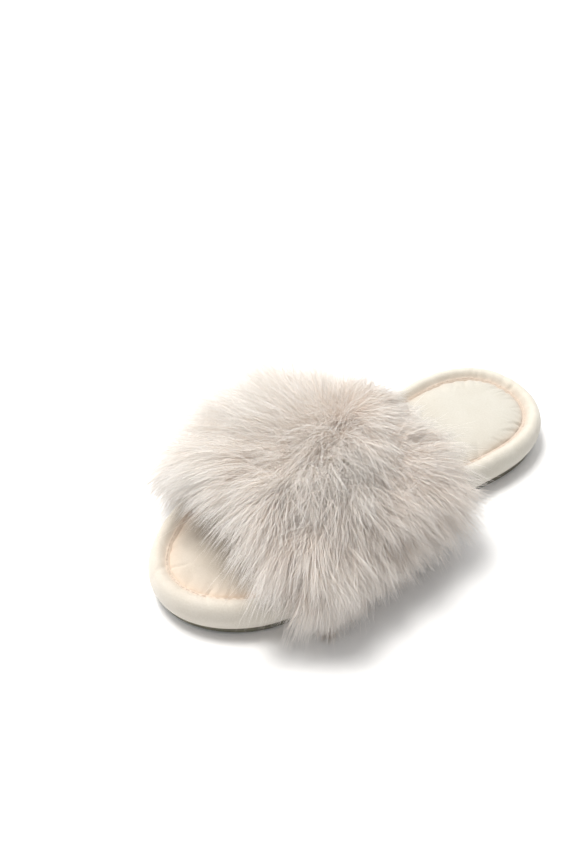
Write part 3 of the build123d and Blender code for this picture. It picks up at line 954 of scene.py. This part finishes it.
def strand_mesh(name, pts, tone_and_painted_light, radius, mat, g):
    """One closed three-sided tapering tube for each strand."""
    n, m = len(pts), pts.shape[1]
    tang = np.gradient(pts, axis=1)
    tang /= np.maximum(np.linalg.norm(tang, axis=2), 1e-9)[..., None]
    ref = unit(g.normal(size=(n, 3)))
    a = np.cross(tang, ref[:, None, :])
    a /= np.maximum(np.linalg.norm(a, axis=2), 1e-6)[..., None]
    b = np.cross(tang, a)
    prof = np.array([0.8, 1.0, 1.0, 0.92, 0.76, 0.48, 0.0])[:m]
    rad = radius[:, None] * prof[None, :]
    rings = []
    for q in range(3):
        w = q * 2 * math.pi / 3
        rings.append(pts[:, :-1] + (a[:, :-1] * math.cos(w) + b[:, :-1] * math.sin(w)) * rad[:, :-1, None])
    R = np.stack(rings, axis=2)                      # n, m-1, 3, xyz
    V = np.concatenate([R.reshape(n, -1, 3), pts[:, -1:, :]], axis=1)
    per = 3 * (m - 1) + 1
    quads, tris = [], []
    for k in range(m - 2):
        for q in range(3):
            r = (q + 1) % 3
            quads.append((3 * k + q, 3 * k + r, 3 * (k + 1) + r, 3 * (k + 1) + q))
    last = 3 * (m - 2)
    for q in range(3):
        tris.append((last + q, last + (q + 1) % 3, per - 1))
    tris.append((2, 1, 0))
    quads, tris = np.array(quads), np.array(tris)
    base = np.arange(n) * per
    Q = (quads[None] + base[:, None, None])          # n, nq, 4
    Tr = (tris[None] + base[:, None, None])
    loops = np.concatenate([Q.reshape(n, -1), Tr.reshape(n, -1)], axis=1).ravel()
    sizes = np.tile(np.r_[np.full(len(quads), 4), np.full(len(tris), 3)], n)
    starts = np.concatenate([[0], np.cumsum(sizes)[:-1]])
    me = bpy.data.meshes.new(name)
    me.vertices.add(n * per)
    me.vertices.foreach_set("co", (V.reshape(-1, 3) * MM).ravel())
    me.loops.add(len(loops))
    me.loops.foreach_set("vertex_index", loops.astype(np.int32))
    me.polygons.add(len(sizes))
    me.polygons.foreach_set("loop_start", starts.astype(np.int32))
    me.polygons.foreach_set("use_smooth", np.ones(len(sizes), bool))
    vv = np.concatenate([np.repeat(np.arange(m - 1) / (m - 1), 3), [1.0]])
    local = np.concatenate([quads.ravel(), tris.ravel()])
    uvs = np.empty((n, len(local), 2), np.float32)
    uvs[:, :, 1] = (0.01 + 0.98 * vv[local])[None, :]
    # each strand is a narrow strip of the map at its own u: the lock's paleness with painted light and shade by place
    wide = np.tile([-0.004, 0.004, 0.004, -0.004], len(quads)).tolist() + [0.0] * (3 * len(tris))
    uvs[:, :, 0] = np.clip(tone_and_painted_light[:, None] + np.array(wide)[None, :], 0.005, 0.995)
    layer = me.uv_layers.new(name="OFBake")
    layer.data.foreach_set("uv", uvs.ravel())
    me.update(calc_edges=True)
    me.validate()
    me.materials.append(mat)
    o = bpy.data.objects.new(name, me)
    bpy.context.scene.collection.objects.link(o)
    return o


def fur():
    total = 96000
    pts, tone_and_painted_light, radius, under = build_fur(total, 91)
    mat = mat_fur()
    g = np.random.default_rng(5)
    # groups by place: rear to front in ten bands, outer and inner side
    x, y = pts[:, 0, 0], pts[:, 0, 1]
    row = np.argsort(np.argsort(-y)) * 10 // total
    order = []
    for r in range(10):
        idx = np.where(row == r)[0]
        xm = np.median(x[idx])
        order.append((f"fur_row{r + 1}_outer", idx[x[idx] >= xm]))
        order.append((f"fur_row{r + 1}_inner", idx[x[idx] < xm]))
    for name, idx in order:
        o = strand_mesh(name, pts[idx], tone_and_painted_light[idx], radius[idx], mat, g)
        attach(o, "root")
        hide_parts("fur_pile")


# ------------------------------------------------------------------ build
footbed()
rim()
# seam thread: stitches lying in the groove
cnt = int(PERIMETER * 0.86 / 3.6)
ang = (np.arange(cnt) * N_RING / cnt).astype(int)
cs = np.column_stack([RING[ang] + RIN[ang] * (SEAM + 0.1), crease_z(RING[ang][:, 1]) + 0.1 - 0.22 * smooth(-60.0, 20.0, RING[ang][:, 1])])
tn = np.column_stack([np.roll(RING, -1, 0)[ang] - np.roll(RING, 1, 0)[ang], np.zeros(cnt)])
mat_t = mat_thread()
stitches("footbed_stitches", cs, (tn, np.tile([0, 0, 1.0], (cnt, 1))), 2.6, 0.33, mat_t, "footbed_seam_thread")
band()
for nm, node_nm, uu in (("rear_edge_stitches", "band_rear_thread", U0 + 4), ("front_edge_stitches", "band_front_thread", U1 - 4)):
    Q, nr, run = arch(uu, 0.05, TURN + 4, 90)
    k = np.arange(2, 88, 2)
    c3 = np.column_stack([Q[k, 0], np.full(len(k), 132.5 - uu), Q[k, 1]])
    d3 = np.column_stack([Q[k + 1, 0] - Q[k - 1, 0], np.zeros(len(k)), Q[k + 1, 1] - Q[k - 1, 1]])
    n3 = np.column_stack([-nr[k, 0], np.zeros(len(k)), -nr[k, 1]])
    stitches(nm, c3, (d3, n3), 2.3, 0.3, mat_t, node_nm)
fur()

for name, mat in (("outsole", mat_outsole()), ("insole_board", mat_board())):
    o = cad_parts[name]
    o.data.materials.clear()
    o.data.materials.append(mat)

# ------------------------------------------------------------------ floor, light
fl = bpy.data.meshes.new("floor")
fl.from_pydata([(-6, -6, 0), (6, -6, 0), (6, 6, 0), (-6, 6, 0)], [], [(0, 1, 2, 3)])
floor = bpy.data.objects.new("floor", fl)
floor.location.z = -0.0002
bpy.context.scene.collection.objects.link(floor)
fm, fnt, fb, _ = material("floor_white")
fb.inputs["Base Color"].default_value = (0.93, 0.93, 0.93, 1)
fb.inputs["Roughness"].default_value = 0.9
fl.materials.append(fm)

world = bpy.data.worlds.new("studio")
bpy.context.scene.world = world
world.use_nodes = True
world.node_tree.nodes["Background"].inputs[0].default_value = (0.995, 0.992, 0.99, 1)
world.node_tree.nodes["Background"].inputs[1].default_value = 0.43


def area(name, where, power, size, colour):
    d = bpy.data.lights.new(name, "AREA")
    d.energy, d.size, d.color = power, size, colour
    o = bpy.data.objects.new(name, d)
    o.location = where
    o.rotation_euler = (Vector((0, 0, 0.02)) - Vector(where)).to_track_quat("-Z", "Y").to_euler()
    bpy.context.scene.collection.objects.link(o)


area("key", (-0.50, -0.20, 1.72), 29.3, 0.60, (1.0, 0.982, 0.955))
area("left", (-1.3, -0.7, 0.85), 11.8, 1.4, (1.0, 0.99, 0.975))
area("fill", (0.9, -0.9, 1.1), 0.5, 1.2, (0.95, 0.975, 1.0))
area("back", (-0.6, 0.8, 1.5), 10.0, 1.8, (1.0, 0.99, 0.98))
sc = bpy.context.scene
sc.view_settings.view_transform = "Standard"
sc.view_settings.look = "None"
sc.view_settings.exposure = 0.0
sc.cycles.diffuse_bounces = 10        # light goes through pale fur many times over
